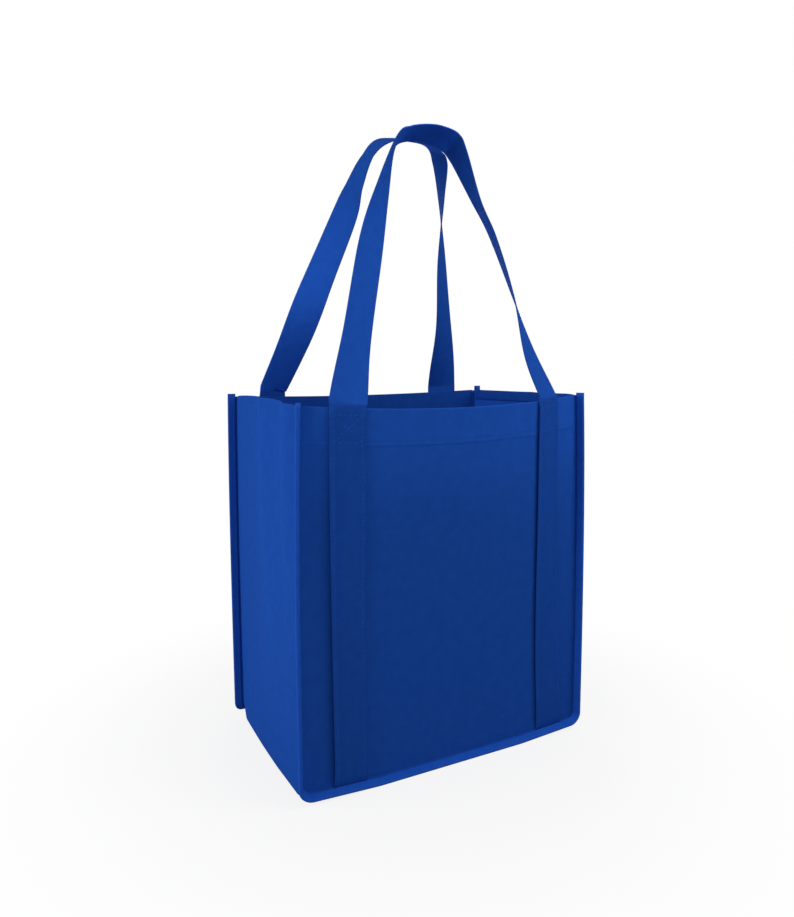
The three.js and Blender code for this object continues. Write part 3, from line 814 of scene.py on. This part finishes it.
def non_woven(name, painted_light_name):
    """Spunbond fabric: matted fibres, pressed together in a fine grid of dots."""
    material, nodes, links, shader = new_material(name)
    flat = nodes.new("ShaderNodeUVMap")
    flat.uv_map = "flat"
    turned = nodes.new("ShaderNodeMapping")
    turned.inputs["Rotation"].default_value = (0, 0, math.radians(45))
    links.new(flat.outputs["UV"], turned.inputs["Vector"])
    dots = nodes.new("ShaderNodeTexVoronoi")
    dots.voronoi_dimensions = "2D"
    dots.inputs["Scale"].default_value = 1 / DOT_PITCH
    dots.inputs["Randomness"].default_value = 0
    links.new(turned.outputs["Vector"], dots.inputs["Vector"])
    pressed = nodes.new("ShaderNodeMapRange")
    pressed.interpolation_type = "SMOOTHSTEP"
    pressed.inputs["From Min"].default_value = 0.22
    pressed.inputs["From Max"].default_value = 0.42
    links.new(dots.outputs["Distance"], pressed.inputs["Value"])
    fibres = nodes.new("ShaderNodeTexNoise")
    fibres.noise_dimensions = "2D"
    fibres.inputs["Scale"].default_value = 1 / FIBRE_SIZE
    fibres.inputs["Detail"].default_value = 3
    fibres.inputs["Roughness"].default_value = 0.6
    links.new(flat.outputs["UV"], fibres.inputs["Vector"])
    clouds = nodes.new("ShaderNodeTexNoise")
    clouds.noise_dimensions = "2D"
    clouds.inputs["Scale"].default_value = 110
    clouds.inputs["Detail"].default_value = 4
    links.new(flat.outputs["UV"], clouds.inputs["Vector"])
    mottle = nodes.new("ShaderNodeValToRGB")
    mottle.color_ramp.elements[0].position = 0.32
    mottle.color_ramp.elements[0].color = BLUE_DEEP
    mottle.color_ramp.elements[1].position = 0.68
    mottle.color_ramp.elements[1].color = BLUE_FLEECE
    links.new(clouds.outputs["Fac"], mottle.inputs["Fac"])
    dotted = nodes.new("ShaderNodeMix")
    dotted.data_type = "RGBA"
    dotted.inputs["A"].default_value = BLUE_DEEP
    links.new(pressed.outputs["Result"], dotted.inputs["Factor"])
    links.new(mottle.outputs["Color"], dotted.inputs["B"])
    # The base colour is multiplied by the painted light and shade kept on the piece.
    painted_light = nodes.new("ShaderNodeAttribute")
    painted_light.attribute_name = painted_light_name
    with_painted_light = nodes.new("ShaderNodeMix")
    with_painted_light.data_type = "RGBA"
    with_painted_light.blend_type = "MULTIPLY"
    with_painted_light.inputs["Factor"].default_value = 1.0
    links.new(dotted.outputs["Result"], with_painted_light.inputs["A"])
    links.new(painted_light.outputs["Color"], with_painted_light.inputs["B"])
    links.new(with_painted_light.outputs["Result"], shader.inputs["Base Color"])
    height = nodes.new("ShaderNodeMath")
    height.operation = "MULTIPLY_ADD"
    height.inputs[1].default_value = 0.5
    links.new(fibres.outputs["Fac"], height.inputs[0])
    links.new(pressed.outputs["Result"], height.inputs[2])
    bump = nodes.new("ShaderNodeBump")
    bump.inputs["Strength"].default_value = 0.28
    bump.inputs["Distance"].default_value = 0.00012
    links.new(height.outputs["Value"], bump.inputs["Height"])
    links.new(bump.outputs["Normal"], shader.inputs["Normal"])
    shader.inputs["Roughness"].default_value = 0.85
    shader.inputs["Specular IOR Level"].default_value = 0.02
    return material


def thread_finish(name):
    material, nodes, links, shader = new_material(name)
    place = nodes.new("ShaderNodeTexCoord")
    twist = nodes.new("ShaderNodeTexNoise")
    twist.inputs["Scale"].default_value = 2500
    links.new(place.outputs["Object"], twist.inputs["Vector"])
    shade = nodes.new("ShaderNodeMix")
    shade.data_type = "RGBA"
    shade.inputs["A"].default_value = BLUE_DEEP
    shade.inputs["B"].default_value = THREAD_BLUE
    links.new(twist.outputs["Fac"], shade.inputs["Factor"])
    links.new(shade.outputs["Result"], shader.inputs["Base Color"])
    shader.inputs["Roughness"].default_value = 0.8
    shader.inputs["Specular IOR Level"].default_value = 0.02
    return material


def board_finish(name):
    material, nodes, links, shader = new_material(name)
    place = nodes.new("ShaderNodeTexCoord")
    grain = nodes.new("ShaderNodeTexNoise")
    grain.inputs["Scale"].default_value = 900
    links.new(place.outputs["Object"], grain.inputs["Vector"])
    bump = nodes.new("ShaderNodeBump")
    bump.inputs["Strength"].default_value = 0.2
    bump.inputs["Distance"].default_value = 0.0002
    links.new(grain.outputs["Fac"], bump.inputs["Height"])
    links.new(bump.outputs["Normal"], shader.inputs["Normal"])
    tone = nodes.new("ShaderNodeMix")
    tone.data_type = "RGBA"
    tone.inputs["A"].default_value = BOARD_BLUE
    tone.inputs["B"].default_value = BLUE_DEEP
    links.new(grain.outputs["Fac"], tone.inputs["Factor"])
    links.new(tone.outputs["Result"], shader.inputs["Base Color"])
    shader.inputs["Roughness"].default_value = 0.6
    return material


def backdrop_rays(nodes, links):
    """1 for rays that show the backdrop: straight to the camera, mirrored or through something."""
    ray = nodes.new("ShaderNodeLightPath")
    shown = ray.outputs["Is Camera Ray"]
    for kind in ("Is Glossy Ray", "Is Transmission Ray"):
        either = nodes.new("ShaderNodeMath")
        either.operation = "MAXIMUM"
        links.new(shown, either.inputs[0])
        links.new(ray.outputs[kind], either.inputs[1])
        shown = either.outputs["Value"]
    return shown


def floor_finish(name):
    """White to the camera, with a soft shadow near the bag, and grey for the light it throws back."""
    material, nodes, links, shader = new_material(name)
    shader.inputs["Base Color"].default_value = (0.4, 0.4, 0.4, 1)
    shader.inputs["Roughness"].default_value = 0.9
    shader.inputs["Specular IOR Level"].default_value = 0.0
    seen = nodes.new("ShaderNodeBsdfDiffuse")
    seen.inputs["Color"].default_value = (0.9, 0.9, 0.9, 1)
    white = nodes.new("ShaderNodeEmission")
    white.inputs["Strength"].default_value = 1.0
    spot = nodes.new("ShaderNodeTexCoord")
    away = nodes.new("ShaderNodeVectorMath")
    away.operation = "LENGTH"
    links.new(spot.outputs["Object"], away.inputs[0])
    fade = nodes.new("ShaderNodeMapRange")
    fade.interpolation_type = "SMOOTHSTEP"
    fade.inputs["From Min"].default_value = 0.12
    fade.inputs["From Max"].default_value = 0.45
    fade.inputs["To Min"].default_value = 0.84
    fade.inputs["To Max"].default_value = 1.0
    links.new(away.outputs["Value"], fade.inputs["Value"])
    shadowed = nodes.new("ShaderNodeMixShader")
    links.new(fade.outputs["Result"], shadowed.inputs["Fac"])
    links.new(seen.outputs["BSDF"], shadowed.inputs[1])
    links.new(white.outputs["Emission"], shadowed.inputs[2])
    mix = nodes.new("ShaderNodeMixShader")
    links.new(backdrop_rays(nodes, links), mix.inputs["Fac"])
    links.new(shader.outputs["BSDF"], mix.inputs[1])
    links.new(shadowed.outputs["Shader"], mix.inputs[2])
    links.new(mix.outputs["Shader"], nodes["Material Output"].inputs["Surface"])
    return material


# Camera, light and floor
CAMERA_PLACE = Vector((-0.353437, -0.636025, 0.358075))
CAMERA_RIGHT = Vector((0.87895651, -0.47688803, -0.00364259))
CAMERA_UP = Vector((0.06145325, 0.10568408, 0.99249905))
CAMERA_LENS = 29.54


def camera():
    data = bpy.data.cameras.new("camera")
    data.sensor_width = 36
    data.lens = CAMERA_LENS
    data.clip_start = 0.01
    view = bpy.data.objects.new("camera", data)
    back = CAMERA_RIGHT.cross(CAMERA_UP)
    axes = Matrix((CAMERA_RIGHT, CAMERA_UP, back)).transposed().to_4x4()
    view.matrix_world = Matrix.Translation(CAMERA_PLACE) @ axes
    bpy.context.scene.collection.objects.link(view)
    bpy.context.scene.camera = view


def soft_box(name, place, target, size, power):
    data = bpy.data.lights.new(name, "AREA")
    data.shape = "RECTANGLE"
    data.size, data.size_y = size
    data.energy = power
    lamp = bpy.data.objects.new(name, data)
    lamp.location = place
    lamp.rotation_mode = "QUATERNION"
    lamp.rotation_quaternion = (Vector(target) - Vector(place)).to_track_quat("-Z", "Y")
    bpy.context.scene.collection.objects.link(lamp)


def studio():
    soft_box("left box", (-1.7, 0.15, 0.5), (0, 0, 0.2), (1.4, 1.4), 19.2)
    soft_box("front left box", (-0.5, -1.4, 0.7), (0, 0, 0.2), (0.8, 0.8), 2.5)
    soft_box("front top box", (0.1, -0.5, 0.9), (0, -0.1, 0.3), (0.3, 0.3), 1.0)
    soft_box("right box", (0.45, -0.5, 0.72), (0, -0.1, 0.25), (0.3, 0.3), 1.8)
    soft_box("back box", (0.5, 1.5, 0.9), (0, 0, 0.25), (0.9, 0.9), 6.0)
    world = bpy.data.worlds.new("studio")
    bpy.context.scene.world = world
    world.use_nodes = True
    nodes, links = world.node_tree.nodes, world.node_tree.links
    plain = nodes["Background"]
    plain.inputs["Color"].default_value = (1, 1, 1, 1)
    plain.inputs["Strength"].default_value = 0.2
    white = nodes.new("ShaderNodeBackground")
    white.inputs["Color"].default_value = (1, 1, 1, 1)
    white.inputs["Strength"].default_value = 1.0
    mix = nodes.new("ShaderNodeMixShader")
    links.new(backdrop_rays(nodes, links), mix.inputs["Fac"])
    links.new(plain.outputs["Background"], mix.inputs[1])
    links.new(white.outputs["Background"], mix.inputs[2])
    links.new(mix.outputs["Shader"], nodes["World Output"].inputs["Surface"])


def floor():
    mesh = bpy.data.meshes.new("floor")
    bm = bmesh.new()
    bmesh.ops.create_grid(bm, x_segments=1, y_segments=1, size=6)
    bm.to_mesh(mesh)
    bm.free()
    ground = bpy.data.objects.new("floor", mesh)
    bpy.context.scene.collection.objects.link(ground)
    mesh.materials.append(floor_finish("white floor"))


# Making the scene
bpy.context.scene.view_settings.view_transform = "Standard"
camera()
fabric = [non_woven("blue non-woven", "outside_painted_light"), non_woven("blue non-woven inside", "inside_painted_light")]
tape_fabric = [non_woven("blue binding", "outside_painted_light")]
strap_fabric = [non_woven("blue strap", "outside_painted_light"), non_woven("blue strap underside", "inside_painted_light")]
thread = thread_finish("blue thread")

panel(FRONT, "front_panel_cloth", "front_panel", fabric, FRONT_LEGS)
panel(BACK, "back_panel_cloth", "back_panel", fabric, BACK_LEGS)
gusset("gusset_cloth", "gusset", fabric)
binding(FRONT, "front_binding_tape", "front_binding", tape_fabric)
binding(BACK, "back_binding_tape", "back_binding", tape_fabric)
front_strap = Strap(FRONT, FRONT_LEGS, FRONT_LOOP, 1)
back_strap = Strap(BACK, BACK_LEGS, BACK_LOOP, -1)
handle(front_strap, "front_handle_strap", "front_handle", strap_fabric)
handle(back_strap, "back_handle_strap", "back_handle", strap_fabric)
for side, strap, word in ((FRONT, front_strap, "front"), (BACK, back_strap, "back")):
    sewing(word + "_strap_sewing", strap_rows(strap) + strap_box_rows(strap), thread)
    sewing(word + "_hem_sewing", hem_rows(side, strap), thread)
    sewing(word + "_tape_sewing", tape_rows(side), thread)
sewing("gusset_hem_sewing", gusset_hem_rows(), thread)

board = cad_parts["base_insert"]
board.data.materials.clear()
board.data.materials.append(board_finish("blue board"))

studio()
floor()
